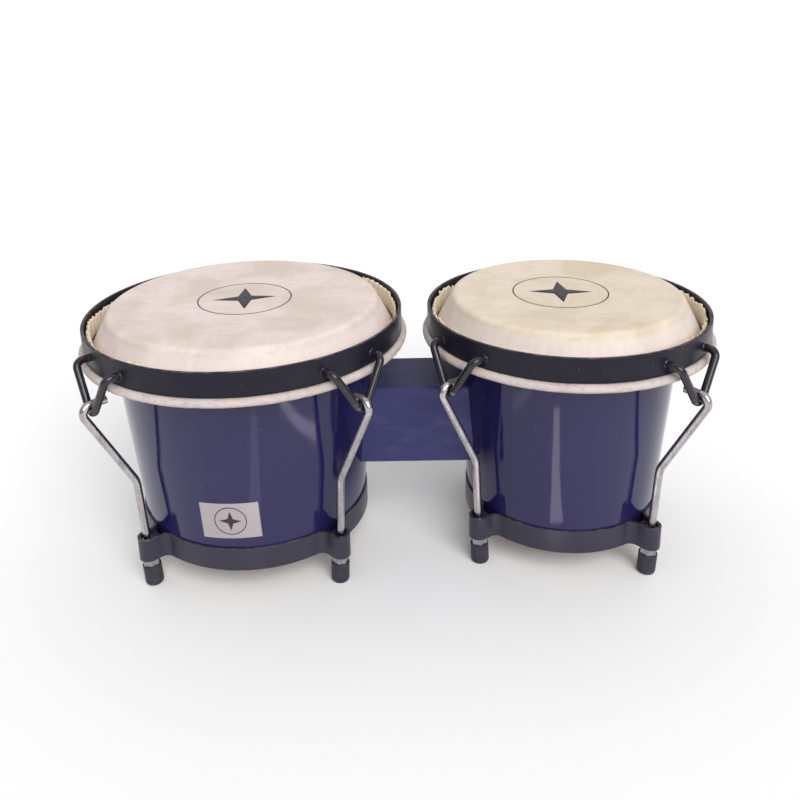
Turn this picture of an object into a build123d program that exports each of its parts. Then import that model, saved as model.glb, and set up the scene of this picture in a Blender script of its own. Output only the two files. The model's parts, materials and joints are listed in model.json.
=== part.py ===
from build123d import *
import math
import os
from dataclasses import dataclass

# A pair of bongo drums: two tapered wooden shells of different diameter, joined by a wooden block.
# Millimetres. +Z is up and z = 0 is the surface that the feet stand on. +X runs from the large drum
# to the small one, and -Y is the front. The origin is the middle of the base.

os.makedirs("parts", exist_ok=True)

# ---- heights above the standing surface ----
HEAD_TOP = 184.0
SKIN = 1.1                      # rawhide thickness
SHELL_TOP = HEAD_TOP - SKIN
HOOP_BOTTOM = 21.0
HOOP_HEIGHT = 16.5
HOOP_TOP = HOOP_BOTTOM + HOOP_HEIGHT
HOOP_MIDDLE = HOOP_BOTTOM + HOOP_HEIGHT / 2
SHELL_BOTTOM = HOOP_BOTTOM + 1.5

# ---- shells ----
WALL = 9.0
SEAT_STEP = 0.8                 # the bottom hoop sits in a rebate this deep
EDGE_ROUND = 3.8                # outer round of the bearing edge
EDGE_BEVEL = 3.5                # inner bevel of the bearing edge

# ---- skin and flesh hoop ----
SKIN_CORNER = 5.0               # outer round where the flat top turns down
FLESH_WIRE = 2.1                # radius of the steel flesh hoop's wire
LAP_RADIUS = 2.9                # radius of the flesh hoop with the skin lapped round it
LAP_OUTSET = 0.5                # the lapped ring's centre is this far outside the rim's outer face
LAP_BELOW_RIM = 0.05
SKIN_TO_TUCK = 0.3
TUCK_HEIGHT = 13.0              # trimmed skin end that stands up inside the rim, over the ring
TUCK_THICKNESS = 1.0
TUCK_INSET = 2.35               # from the rim's outer face to the tuck's outer face
TUCK_ROOT = 0.8                 # the tuck's foot reaches this far into the ring

# ---- rim and its hook loops ----
RIM_HEIGHT = 16.5
RIM_THICKNESS = 2.1
WIRE = 2.55                     # radius of the loops' wire
LOOP_HALF_WIDTH = 20.0
LOOP_REACH = 6.8                # wire centre outside the rim where the loop turns down
LOOP_APEX_REACH = 9.4           # and at the bottom of the V, which leans outward
LOOP_DROP = 9.6                 # from the rim's top edge to the loop's upper wire
LOOP_VERTEX_DROP = 42.0         # from the rim's top edge to the corner of the V, before rounding
LOOP_APEX_ROUND = 5.5
LOOP_BEND = 5.0
WELD_GAP = 0.02

# ---- bottom hoop and lugs ----
STRIP = 2.0
HOOP_FIT = 0.05
LUG_HALF_WIDTH = 6.75
LUG_FLARE = 6.0                 # outer fillet where a lug leaves the band
ROD_STANDOFF = 10.4             # rod axis outside the hoop's outer face, at mid height
PLATE_THICKNESS = 2.0
PLATE_TOP = HOOP_TOP - 2.5
PLATE_HOLE = 3.3
PLATE_FIT = 0.02

# ---- tuning rods, nuts and feet ----
ROD = 2.65                      # radius of the plain shank
THREAD = 2.95                   # radius of the rolled thread
LEAN = 3.3                      # degrees that a rod's lower stretch leans outward
ROD_END_Z = 7.5
THREAD_TOP_Z = 36.0
BEND_Z = 81.0
BEND_RADIUS = 18.0
HOOK_CLEARANCE = 0.3
STUB_INSIDE_RIM = 1.0           # the hook's end is this far inside the rim's outer face
NUT_ACROSS_FLATS = 10.0
NUT_HEIGHT = 5.2
NUT_BORE = 3.0
COLLAR = 4.5
COLLAR_HEIGHT = 6.0
FOOT = 6.25
FOOT_ROUND = 2.5
FOOT_BELOW = 0.2                # the foot is moulded this much long, then faced off level
FOOT_FLOOR = 3.0
FOOT_BORE = 3.4
SOCKET_FIT = 0.02

# ---- centre block and its tie rods ----
CENTRE_DISTANCE = 225.7
BLOCK_BOTTOM = 67.5
BLOCK_TOP = 125.0
BLOCK_DEPTH = 52.0
BLOCK_FIT = 0.03
BLOCK_EDGE = 1.0
TIE_HEIGHTS = (81.5, 111.0)
TIE = 3.0
TIE_HOLE = 3.3
WASHER = 8.0
WASHER_THICKNESS = 1.5
SPOT_FACE = 8.6
SPOT_DEPTH = 0.9
TIE_NUT_HEIGHT = 5.0
TIE_NUT_FIT = 0.02
TIE_TAIL = 2.5                  # tie rod showing past its nut

# ---- label ----
LABEL_WIDTH = 39.0
LABEL_HEIGHT = 27.5
LABEL_MIDDLE = 59.5
LABEL_AZIMUTH = -3.0
LABEL_TURN = 1.5
LABEL_GAP = 0.05
LABEL_THICKNESS = 0.25


@dataclass
class Drum:
    """One drum's own sizes. Lug angles are degrees round from the front, towards +X:
    a pair on each side of the front and a pair facing it behind, spread by the same angle."""
    name: str
    shell_top: float
    hoop_radius: float
    rim_radius: float
    rim_top: float
    lug_middle: float
    lug_spread: float
    centre_x: float = 0.0
    block_side: int = 1

    def __post_init__(self):
        self.seat_radius = self.hoop_radius - STRIP - HOOP_FIT
        self.cone_foot = self.seat_radius + SEAT_STEP
        self.slope = (self.shell_top - self.cone_foot) / (SHELL_TOP - HOOP_TOP)
        self.lap_radius = self.rim_radius + LAP_OUTSET
        self.tuck_radius = self.rim_radius - TUCK_INSET - TUCK_THICKNESS / 2
        self.lap_z = self.rim_top - RIM_HEIGHT - LAP_BELOW_RIM - LAP_RADIUS
        self.width_radius = self.lap_radius + LAP_RADIUS
        self.rod_radius = self.hoop_radius + ROD_STANDOFF
        half = self.lug_spread / 2
        self.lugs = [self.lug_middle + a for a in (-half, half, 180 - half, 180 + half)]

    def cone_radius(self, z):
        return self.cone_foot + (z - HOOP_TOP) * self.slope

    def axis_radius(self, z):
        """Where a tuning rod's leaning axis is at height z."""
        return self.rod_radius + (z - HOOP_MIDDLE) * math.tan(math.radians(LEAN))


LARGE = Drum("large", 94.05, 82.45, 110.6, 177.3, 0.0, 90.0, block_side=1)
SMALL = Drum("small", 79.5, 69.1, 96.7, 175.5, -7.3, 93.5, block_side=-1)
OVERALL_WIDTH = CENTRE_DISTANCE + LARGE.width_radius + SMALL.width_radius
LARGE.centre_x = LARGE.width_radius - OVERALL_WIDTH / 2
SMALL.centre_x = LARGE.centre_x + CENTRE_DISTANCE


def save(name, *solids):
    """Writes one node's STEP file, as one solid or as a group of separate solids."""
    shape = solids[0] if len(solids) == 1 else Compound(children=list(solids))
    export_step(shape, f"parts/{name}.step")


def spun(*outline):
    """A solid of revolution about Z from lines and arcs drawn as (radius, height)."""
    return revolve(Plane.XZ * make_face(Curve() + list(outline)), Axis.Z)


def spun_polygon(*points):
    return spun(Polyline(*points, close=True))


def at_centre(drum, shape):
    return Pos(drum.centre_x, 0, 0) * shape


def at_lug(drum, angle, shape):
    """Turns a shape made with +X pointing outward to one lug angle of a drum."""
    return Pos(drum.centre_x, 0, 0) * Rot(0, 0, angle - 90) * shape


def along_rod(drum, shape):
    """Stands a shape made along +Z from the floor onto a rod's leaning axis."""
    return Pos(drum.axis_radius(0), 0, 0) * Rot(0, LEAN, 0) * shape


def column(radius, bottom, top):
    return Pos(0, 0, (bottom + top) / 2) * Cylinder(radius, top - bottom)


def tube(outer, inner, bottom, top):
    return column(outer, bottom, top) - column(inner, bottom, top)


def hex_bar(across_flats, height):
    return extrude(RegularPolygon(across_flats / 2, 6, major_radius=False), height)


# ---- wooden shell ----
def shell(drum):
    top = drum.shell_top
    inner_top = top - WALL
    inner_bottom = drum.cone_radius(SHELL_BOTTOM) - WALL
    body = spun_polygon(
        (inner_bottom, SHELL_BOTTOM),
        (drum.seat_radius, SHELL_BOTTOM),
        (drum.seat_radius, HOOP_TOP),
        (drum.cone_foot, HOOP_TOP),
        (top, SHELL_TOP),
        (inner_top, SHELL_TOP),
    )
    rims = body.edges().filter_by(GeomType.CIRCLE).group_by(Axis.Z)[-1].sort_by(SortBy.RADIUS)
    body = chamfer(rims[0], EDGE_BEVEL)
    rims = body.edges().filter_by(GeomType.CIRCLE).group_by(Axis.Z)[-1].sort_by(SortBy.RADIUS)
    body = at_centre(drum, fillet(rims[-1], EDGE_ROUND))
    for z in TIE_HEIGHTS:
        body -= middle(z) * Rot(0, 90, 0) * Cylinder(TIE_HOLE, CENTRE_DISTANCE)
        body -= facing_inward(drum, z, 0, column(SPOT_FACE, 0, WALL))
    return body


def seat_plane(drum, z):
    """X of the flat seat that a tie rod's washer bears on, inside the shell."""
    inner = drum.cone_radius(z) - WALL
    return drum.centre_x + drum.block_side * (inner + SPOT_DEPTH)


# ---- skin head, its lapped edge and the flesh hoop in it ----
def head(drum):
    corner_r = drum.shell_top + 1.2 - SKIN_CORNER
    corner_z = HEAD_TOP - SKIN_CORNER
    end_r = drum.tuck_radius - TUCK_THICKNESS / 2 - SKIN_TO_TUCK
    end_z = drum.lap_z - 0.5
    reach = math.hypot(end_r - corner_r, end_z - corner_z)
    fall = math.degrees(math.atan2(end_z - corner_z, end_r - corner_r))
    turn = fall + math.degrees(math.acos(SKIN_CORNER / reach))
    across = math.cos(math.radians(turn))
    up = math.sin(math.radians(turn))
    inner_round = SKIN_CORNER - SKIN
    outer_corner = (corner_r + SKIN_CORNER * across, corner_z + SKIN_CORNER * up)
    inner_corner = (corner_r + inner_round * across, corner_z + inner_round * up)
    inner_end = (end_r - SKIN * across, end_z - SKIN * up)
    return at_centre(drum, spun(
        Line((0, HEAD_TOP), (corner_r, HEAD_TOP)),
        CenterArc((corner_r, corner_z), SKIN_CORNER, 90, turn - 90),
        Line(outer_corner, (end_r, end_z)),
        Line((end_r, end_z), inner_end),
        Line(inner_end, inner_corner),
        CenterArc((corner_r, corner_z), inner_round, turn, 90 - turn),
        Line((corner_r, SHELL_TOP), (0, SHELL_TOP)),
        Line((0, SHELL_TOP), (0, HEAD_TOP)),
    ))


def skin_lap(drum):
    inner = drum.tuck_radius - TUCK_THICKNESS / 2
    ring_side = drum.lap_radius - LAP_RADIUS
    low = drum.lap_z - TUCK_ROOT
    high = drum.lap_z + LAP_RADIUS + TUCK_HEIGHT
    section = Pos(drum.lap_radius, drum.lap_z) * Circle(LAP_RADIUS)
    section += Pos(drum.tuck_radius, (low + high) / 2) * Rectangle(TUCK_THICKNESS, high - low)
    root = ring_side + TUCK_ROOT - inner
    section += Pos(inner + root / 2, drum.lap_z) * Rectangle(root, 2 * TUCK_ROOT)
    section -= Pos(drum.lap_radius, drum.lap_z) * Circle(FLESH_WIRE + 0.02)
    return at_centre(drum, revolve(Plane.XZ * section, Axis.Z))


def flesh_hoop(drum):
    return at_centre(drum, Pos(0, 0, drum.lap_z) * Torus(drum.lap_radius, FLESH_WIRE))


# ---- rim with its welded loops ----
def rim(drum):
    ring = tube(drum.rim_radius, drum.rim_radius - RIM_THICKNESS,
                drum.rim_top - RIM_HEIGHT, drum.rim_top)
    return at_centre(drum, fillet(ring.edges().filter_by(GeomType.CIRCLE), 0.5))


def apex(drum):
    """Radius and height of the wire's centre at the bottom of a loop's rounded V."""
    rise = LOOP_VERTEX_DROP - LOOP_DROP
    half_angle = math.atan2(LOOP_HALF_WIDTH, rise)
    lift = LOOP_APEX_ROUND * (1 / math.sin(half_angle) - 1)
    return drum.rim_radius + LOOP_APEX_REACH, drum.rim_top - LOOP_VERTEX_DROP + lift


def rim_loop(drum):
    start = drum.rim_radius - 4
    reach = drum.rim_radius + LOOP_REACH
    upper = drum.rim_top - LOOP_DROP
    path = FilletPolyline(
        (start, -LOOP_HALF_WIDTH, upper),
        (reach, -LOOP_HALF_WIDTH, upper),
        (drum.rim_radius + LOOP_APEX_REACH, 0, drum.rim_top - LOOP_VERTEX_DROP),
        (reach, LOOP_HALF_WIDTH, upper),
        (start, LOOP_HALF_WIDTH, upper),
        radius=(LOOP_BEND, LOOP_APEX_ROUND, LOOP_BEND),
    )
    wire = sweep(Plane(path @ 0, z_dir=path % 0) * Circle(WIRE), path=path)
    return wire - Pos(0, 0, upper) * Cylinder(drum.rim_radius + WELD_GAP, 4 * WIRE)


# ---- bottom hoop, a strip folded into four lugs ----
def flare(drum, radius, side):
    """The rounded corner between the band and one side of a lug, filled up to that radius."""
    middle_y = LUG_HALF_WIDTH + LUG_FLARE
    middle_x = math.sqrt((drum.hoop_radius + LUG_FLARE) ** 2 - middle_y ** 2)
    inside = (drum.hoop_radius - STRIP) / (drum.hoop_radius + LUG_FLARE)
    corners = [
        (middle_x * inside, 0),
        (middle_x, 0),
        (middle_x, side * middle_y),
        (middle_x * inside, side * middle_y * inside),
    ]
    corner = Polygon(*corners[::side], align=None)
    return corner - Pos(middle_x, side * middle_y) * Circle(radius)


def lug_outline(drum, half_width, flare_radius):
    """Plan of one lug's outer or inner face, pointing along +X."""
    length = ROD_STANDOFF + STRIP
    plan = Pos(drum.rod_radius - length / 2, 0) * Rectangle(length, 2 * half_width)
    plan += Pos(drum.rod_radius, 0) * Circle(half_width)
    for side in (-1, 1):
        plan += flare(drum, flare_radius, side)
    return plan


def bottom_hoop(drum):
    outer = Circle(drum.hoop_radius)
    inner = Circle(drum.hoop_radius - STRIP)
    for angle in drum.lugs:
        turn = Rot(0, 0, angle - 90)
        outer += turn * lug_outline(drum, LUG_HALF_WIDTH, LUG_FLARE)
        inner += turn * lug_outline(drum, LUG_HALF_WIDTH - STRIP, LUG_FLARE + STRIP)
    strip = Pos(0, 0, HOOP_BOTTOM) * extrude(outer - inner, HOOP_HEIGHT, dir=(0, 0, 1))
    return at_centre(drum, strip)


def lug_plate(drum):
    half_width = LUG_HALF_WIDTH - STRIP - PLATE_FIT
    length = ROD_STANDOFF - 2
    plan = Pos(drum.rod_radius - length / 2, 0) * Rectangle(length, 2 * half_width)
    plan += Pos(drum.rod_radius, 0) * Circle(half_width)
    plan -= Pos(drum.axis_radius(PLATE_TOP - PLATE_THICKNESS / 2), 0) * Circle(PLATE_HOLE)
    return Pos(0, 0, PLATE_TOP - PLATE_THICKNESS) * extrude(plan, PLATE_THICKNESS)


# ---- tuning rod, its nut and its rubber foot ----
def tuning_rod(drum):
    hook_r, hook_z = apex(drum)
    hook = WIRE + ROD + HOOK_CLEARANCE
    bend_r = drum.axis_radius(BEND_Z)
    span = math.hypot(hook_r - bend_r, hook_z - BEND_Z)
    slant = math.atan2(hook_r - bend_r, hook_z - BEND_Z) + math.asin(hook / span)
    touch = (hook_r + hook * math.cos(slant), hook_z - hook * math.sin(slant))
    start = (drum.axis_radius(THREAD_TOP_Z - 5), THREAD_TOP_Z - 5)
    stub = drum.rim_radius - STUB_INSIDE_RIM
    arc_size = 90 + math.degrees(slant)
    path = Plane.XZ * (Curve() + [
        FilletPolyline(start, (bend_r, BEND_Z), touch, radius=BEND_RADIUS),
        CenterArc((hook_r, hook_z), hook, -math.degrees(slant), arc_size),
        Line((hook_r, hook_z + hook), (stub, hook_z + hook)),
    ])
    foot_of_path = Plane((start[0], 0, start[1]), z_dir=along_rod_direction())
    shank = sweep(foot_of_path * Circle(ROD), path=path.wire())
    length = (THREAD_TOP_Z - ROD_END_Z) / math.cos(math.radians(LEAN))
    low = ROD_END_Z / math.cos(math.radians(LEAN))
    thread = along_rod(drum, Pos(0, 0, low + length / 2) * Cylinder(THREAD, length))
    return shank + thread


def along_rod_direction():
    return (math.sin(math.radians(LEAN)), 0, math.cos(math.radians(LEAN)))


def nut_top():
    """Distance up the leaning axis at which the nut's highest corner just meets the hoop."""
    corner = NUT_ACROSS_FLATS / math.sqrt(3)
    lift = corner * math.sin(math.radians(LEAN))
    return (HOOP_BOTTOM - lift - 0.02) / math.cos(math.radians(LEAN))


def tuning_nut(drum):
    hex_bottom = nut_top() - NUT_HEIGHT
    body = Pos(0, 0, hex_bottom) * chamfered_hex(NUT_ACROSS_FLATS, NUT_HEIGHT)
    body += tube(COLLAR, NUT_BORE, hex_bottom - COLLAR_HEIGHT, hex_bottom + 1)
    body -= column(NUT_BORE, 0, HOOP_TOP)
    return along_rod(drum, body)


def chamfered_hex(across_flats, height):
    """A hexagon bar with its corners turned off at both ends, as on a machined nut."""
    corner = across_flats / math.sqrt(3)
    bevel = corner - across_flats / 2
    drop = bevel * math.tan(math.radians(30))
    blank = spun_polygon((0, 0), (corner - bevel, 0), (corner, drop),
                         (corner, height - drop), (corner - bevel, height), (0, height))
    return hex_bar(across_flats, height) & blank


def foot_cap(drum):
    top = nut_top() - NUT_HEIGHT
    blank = Pos(0, 0, -FOOT_BELOW) * extrude(Circle(FOOT), top + FOOT_BELOW)
    blank = fillet(blank.edges().group_by(Axis.Z)[0], FOOT_ROUND)
    blank = fillet(blank.edges().group_by(Axis.Z)[-1], 0.6)
    blank -= column(COLLAR + SOCKET_FIT, top - COLLAR_HEIGHT, top + 1)
    blank -= column(FOOT_BORE, FOOT_FLOOR, top)
    floor = Pos(drum.axis_radius(0), 0, -5) * Box(40, 40, 10)
    return along_rod(drum, blank) - floor


# ---- centre block, tie rods, washers and nuts ----
def cone(drum, gap):
    """The outside of a shell, grown by a gap and solid all through, on the drum's own axis."""
    return spun_polygon(
        (0, HOOP_TOP),
        (drum.cone_foot + gap, HOOP_TOP),
        (drum.shell_top + gap, SHELL_TOP),
        (0, SHELL_TOP),
    )


def middle(z):
    """A place on the line between the drums, at that height."""
    return Pos((LARGE.centre_x + SMALL.centre_x) / 2, 0, z)


def center_block():
    height = BLOCK_TOP - BLOCK_BOTTOM
    bar = Box(CENTRE_DISTANCE, BLOCK_DEPTH, height)
    bar = middle((BLOCK_TOP + BLOCK_BOTTOM) / 2) * chamfer(bar.edges().filter_by(Axis.X), BLOCK_EDGE)
    for drum in (LARGE, SMALL):
        bar -= at_centre(drum, cone(drum, BLOCK_FIT))
    for z in TIE_HEIGHTS:
        bar -= middle(z) * Rot(0, 90, 0) * Cylinder(TIE_HOLE, CENTRE_DISTANCE)
    return bar


def facing_inward(drum, z, distance, shape):
    """Puts a shape made along +Z on a washer seat, that distance in from it."""
    place = Pos(seat_plane(drum, z) - drum.block_side * distance, 0, z)
    return place * Rot(0, -90 * drum.block_side, 0) * shape


def tie_rod(z):
    past = WASHER_THICKNESS + TIE_NUT_HEIGHT + TIE_TAIL
    low = seat_plane(LARGE, z) - past
    high = seat_plane(SMALL, z) + past
    rod = Cylinder(TIE, high - low)
    rod = chamfer(rod.edges().filter_by(GeomType.CIRCLE), 0.5)
    return Pos((low + high) / 2, 0, z) * Rot(0, 90, 0) * rod


def tie_washer(drum, z):
    return facing_inward(drum, z, 0, tube(WASHER, TIE + 0.2, 0, WASHER_THICKNESS))


def tie_nut(drum, z):
    body = chamfered_hex(NUT_ACROSS_FLATS, TIE_NUT_HEIGHT)
    body -= column(TIE + TIE_NUT_FIT, -1, TIE_NUT_HEIGHT + 1)
    return facing_inward(drum, z, WASHER_THICKNESS, body)


# ---- foil label on the large shell ----
def label():
    sheet = cone(LARGE, LABEL_GAP + LABEL_THICKNESS) - cone(LARGE, LABEL_GAP)
    reach = LARGE.cone_radius(LABEL_MIDDLE)
    window = Pos(reach, 0, LABEL_MIDDLE) * Rot(LABEL_TURN, 0, 0) * Box(30, LABEL_WIDTH, LABEL_HEIGHT)
    return at_lug(LARGE, LABEL_AZIMUTH, sheet & window)


for drum in (LARGE, SMALL):
    save(f"{drum.name}_shell", shell(drum))
    save(f"{drum.name}_head", head(drum))
    save(f"{drum.name}_skin_lap", skin_lap(drum))
    save(f"{drum.name}_flesh_hoop", flesh_hoop(drum))
    save(f"{drum.name}_rim", rim(drum))
    save(f"{drum.name}_bottom_hoop", bottom_hoop(drum))
    loop, plate = rim_loop(drum), lug_plate(drum)
    save(f"{drum.name}_rim_loops", *[at_lug(drum, a, loop) for a in drum.lugs])
    save(f"{drum.name}_lug_plates", *[at_lug(drum, a, plate) for a in drum.lugs])
    rod, nut, foot = tuning_rod(drum), tuning_nut(drum), foot_cap(drum)
    for number, angle in enumerate(drum.lugs, 1):
        save(f"{drum.name}_tuning_rod_{number}", at_lug(drum, angle, rod))
        save(f"{drum.name}_tuning_nut_{number}", at_lug(drum, angle, nut))
        save(f"{drum.name}_foot_cap_{number}", at_lug(drum, angle, foot))

save("center_block", center_block())
save("tie_rods", *[tie_rod(z) for z in TIE_HEIGHTS])
save("tie_washers", *[tie_washer(d, z) for d in (LARGE, SMALL) for z in TIE_HEIGHTS])
save("tie_nuts", *[tie_nut(d, z) for d in (LARGE, SMALL) for z in TIE_HEIGHTS])
save("label", label())
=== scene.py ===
import json
import math

import bpy
from mathutils import Matrix, Vector, noise


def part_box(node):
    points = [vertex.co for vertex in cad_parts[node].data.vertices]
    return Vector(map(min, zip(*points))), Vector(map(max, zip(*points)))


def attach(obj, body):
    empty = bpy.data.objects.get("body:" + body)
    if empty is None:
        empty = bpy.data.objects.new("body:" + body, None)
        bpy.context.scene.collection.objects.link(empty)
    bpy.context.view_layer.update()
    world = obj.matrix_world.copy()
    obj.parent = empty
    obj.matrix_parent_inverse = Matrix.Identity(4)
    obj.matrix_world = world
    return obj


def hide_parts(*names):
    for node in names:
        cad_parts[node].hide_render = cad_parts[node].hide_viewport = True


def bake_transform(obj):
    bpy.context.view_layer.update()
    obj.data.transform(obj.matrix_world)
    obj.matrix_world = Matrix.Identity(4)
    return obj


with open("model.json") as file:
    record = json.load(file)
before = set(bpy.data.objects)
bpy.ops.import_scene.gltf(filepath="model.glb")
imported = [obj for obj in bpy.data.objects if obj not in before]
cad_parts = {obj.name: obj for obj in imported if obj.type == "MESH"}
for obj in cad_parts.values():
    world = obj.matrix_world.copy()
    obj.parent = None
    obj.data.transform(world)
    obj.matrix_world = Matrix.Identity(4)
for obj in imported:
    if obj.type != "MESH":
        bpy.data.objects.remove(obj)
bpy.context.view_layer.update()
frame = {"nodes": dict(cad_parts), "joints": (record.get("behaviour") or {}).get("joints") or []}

# The looks of a pair of bongo drums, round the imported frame. Metres, +Z up, -Y the front.
MM = 0.001
TURN = 2 * math.pi

# ---- skin sizes, the same as in the frame's source ----
SKIN = 1.1 * MM                 # rawhide thickness
SKIN_CORNER = 5.0 * MM          # outer round where the flat top turns down
SKIN_PAST_SHELL = 1.2 * MM      # the skin's corner stands this far outside the shell
RING = 2.9 * MM                 # radius of the flesh hoop with the skin lapped round it
RING_OUTSET = 0.5 * MM          # the ring's centre is this far outside the rim's outer face
WALL_END = 4.15 * MM            # the side wall ends this far inside the ring's centre
WALL_END_DROP = 0.5 * MM        # and this far below it
WIRE = 2.55 * MM                # radius of the rim loops' wire
LOOP_HALF_WIDTH = 20.0 * MM

# ---- mesh density: segments round a drum, and steps along each part of the skin's section ----
HEAD_SEGMENTS = 360
LAP_SEGMENTS = 900
FLAT_STEPS, FLAT_CROWDING = 26, 0.8   # the steps crowd towards the edge of the flat top
CORNER_STEPS, WALL_STEPS, UNDER_STEPS = 10, 19, 8
RING_STEPS, TUCK_STEPS = 32, 12

# ---- light ----
SKY_LOW, SKY_TOP, SKY_BEHIND = 0.32, 0.74, 0.24
KEY_STRENGTH = 2.3
KEY_DIRECTION = Vector((-0.3, 0.8, -0.6))
KEY_SOFTNESS = math.radians(45)
FLOOR_HALF = 12.0
FLOOR_TONE = 0.93
FLOOR_SEEN = 1.02               # seen past the floor's edge: the far floor's own tone
STREAK_WIDTHS = (5 * MM, 12 * MM, 22 * MM)   # overlaid, so that the streak has soft sides
STREAK_HEIGHT = 2 * MM
STREAK_COLOUR = (0.95, 0.88, 1.0)

# ---- camera ----
CAMERA_PLACE = Vector((-0.0008, -0.5593, 0.3801))
CAMERA_YAW = math.radians(-1.39)
CAMERA_PITCH = math.radians(16.82)
CAMERA_ROLL = math.radians(-1.67)
CAMERA_LENS = 38.02
CAMERA_SHIFT = (0.0342, -0.1767)


class Drum:
    """One drum's places and sizes, read from the frame."""

    def __init__(self, name, hide_warmth, seed):
        self.name = name
        self.hide_warmth = hide_warmth
        self.seed = seed
        low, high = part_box(f"{name}_rim")
        self.centre_x = (low.x + high.x) / 2
        self.rim_radius = (high.x - low.x) / 2
        self.rim_top = high.z
        self.ring_radius = self.rim_radius + RING_OUTSET
        self.ring_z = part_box(f"{name}_skin_lap")[0].z + RING
        self.head_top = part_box(f"{name}_head")[1].z
        low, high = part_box(f"{name}_shell")
        self.edge_radius = (high.x - low.x) / 2 + SKIN_PAST_SHELL
        self.loop_wire_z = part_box(f"{name}_rim_loops")[1].z - WIRE
        self.loop_low_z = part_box(f"{name}_rim_loops")[0].z
        self.hoop_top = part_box(f"{name}_bottom_hoop")[1].z
        places = [j["pos_m"] for j in frame["joints"] if j["name"].startswith(f"{name}_nut_")]
        self.lug_angles = [math.atan2(x - self.centre_x, -y) for x, y, _ in places]

    def point(self, radius, angle, z):
        """A point at an angle round from the front, towards +X."""
        return (self.centre_x + radius * math.sin(angle), -radius * math.cos(angle), z)


# ---- meshes ----
def smoothstep(t):
    t = min(max(t, 0.0), 1.0)
    return t * t * (3 - 2 * t)


def ripple(angle, waves, seed):
    """Smooth noise round a circle, from about -1 to 1, with about that many waves."""
    reach = waves / TURN
    return 1.6 * noise.noise((reach * math.sin(angle), reach * math.cos(angle), seed))


def steps(angle, count, seed):
    """A value from -1 to 1 that stays level and then jumps, like a hand-cut edge."""
    cell = math.floor((angle / TURN + 0.08 * ripple(angle, 7, seed + 5)) * count) % count
    return noise.cell((cell + 0.5, seed, 0.5)) * 2 - 1


def make_piece(name, vertices, faces, shader, body=None):
    """A smooth mesh object in the shared frame, riding on a body if one is given."""
    mesh = bpy.data.meshes.new(name)
    mesh.from_pydata([tuple(v) for v in vertices], [], faces)
    mesh.shade_smooth()
    piece = bpy.data.objects.new(name, mesh)
    bpy.context.scene.collection.objects.link(piece)
    mesh.materials.append(shader)
    if body:
        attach(piece, body)
    return piece


def ring_faces(segments, points, closed):
    """Quads between neighbouring outlines round a full circle."""
    faces = []
    for s in range(segments):
        after = (s + 1) % segments
        for p in range(points if closed else points - 1):
            q = (p + 1) % points
            faces.append((s * points + p, s * points + q, after * points + q, after * points + p))
    return faces


# ---- the skin: flat head, side wall and the turn under the ring ----
CORNER_WAVINESS = 0.25          # share of the side wall's folds that is left where the corner ends
END_THINNING = 0.9              # share of its thickness that the skin loses under the ring
SWELL = 0.07 * MM               # height of the flat top's slow waves
SWELL_LENGTH, SWELL_WIDTH = 45 * MM, 30 * MM
BROAD_FOLDS, FINE_FOLDS = 26, 90      # folds round the side wall
BROAD_DEPTH, FINE_DEPTH = 0.32 * MM, 0.13 * MM


def skin_stations(drum):
    """The skin's outer face as (radius, height, normal r, normal z, thickness, waviness)."""
    corner_r, corner_z = drum.edge_radius - SKIN_CORNER, drum.head_top - SKIN_CORNER
    end_r, end_z = drum.ring_radius - WALL_END, drum.ring_z - WALL_END_DROP
    gap = math.hypot(end_r - corner_r, end_z - corner_z)
    lean = math.atan2(end_z - corner_z, end_r - corner_r) + math.acos(SKIN_CORNER / gap)
    found = []
    for k in range(1, FLAT_STEPS + 1):
        share = (k / FLAT_STEPS) ** FLAT_CROWDING
        found.append((corner_r * share, drum.head_top, 0.0, 1.0, SKIN, 0.0))
    for k in range(1, CORNER_STEPS + 1):
        share = k / CORNER_STEPS
        a = math.pi / 2 + (lean - math.pi / 2) * share
        found.append((corner_r + SKIN_CORNER * math.cos(a), corner_z + SKIN_CORNER * math.sin(a),
                      math.cos(a), math.sin(a), SKIN, CORNER_WAVINESS * share))
    start = found[-1]
    for k in range(1, WALL_STEPS + 1):
        share = k / WALL_STEPS
        wavy = CORNER_WAVINESS + (1 - CORNER_WAVINESS) * math.sin(math.pi * share)
        found.append((start[0] + (end_r - start[0]) * share, start[1] + (end_z - start[1]) * share,
                      math.cos(lean), math.sin(lean), SKIN, wavy))
    drop = RING - WALL_END_DROP
    for k in range(1, UNDER_STEPS + 1):
        a = math.pi / 2 * k / UNDER_STEPS
        steep = math.hypot(drop * math.cos(a), WALL_END * math.sin(a))
        found.append((drum.ring_radius - WALL_END * math.cos(a), end_z - drop * math.sin(a),
                      drop * math.cos(a) / steep, WALL_END * math.sin(a) / steep,
                      SKIN * (1 - END_THINNING * k / UNDER_STEPS), 0.0))
    return found


def head_swell(drum, x, y):
    """How far the flat head stands off its plane at a point, as a stretched skin does."""
    return SWELL * noise.noise((x / SWELL_LENGTH, y / SWELL_WIDTH, drum.seed))


def wall_folds(drum, angle, height):
    """Shallow pulled folds that run down the skin's side wall."""
    broad = ripple(angle, BROAD_FOLDS, drum.seed + 1 + height * 12)
    fine = ripple(angle, FINE_FOLDS, drum.seed + 2 + height * 20)
    return BROAD_DEPTH * broad + FINE_DEPTH * fine


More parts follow.
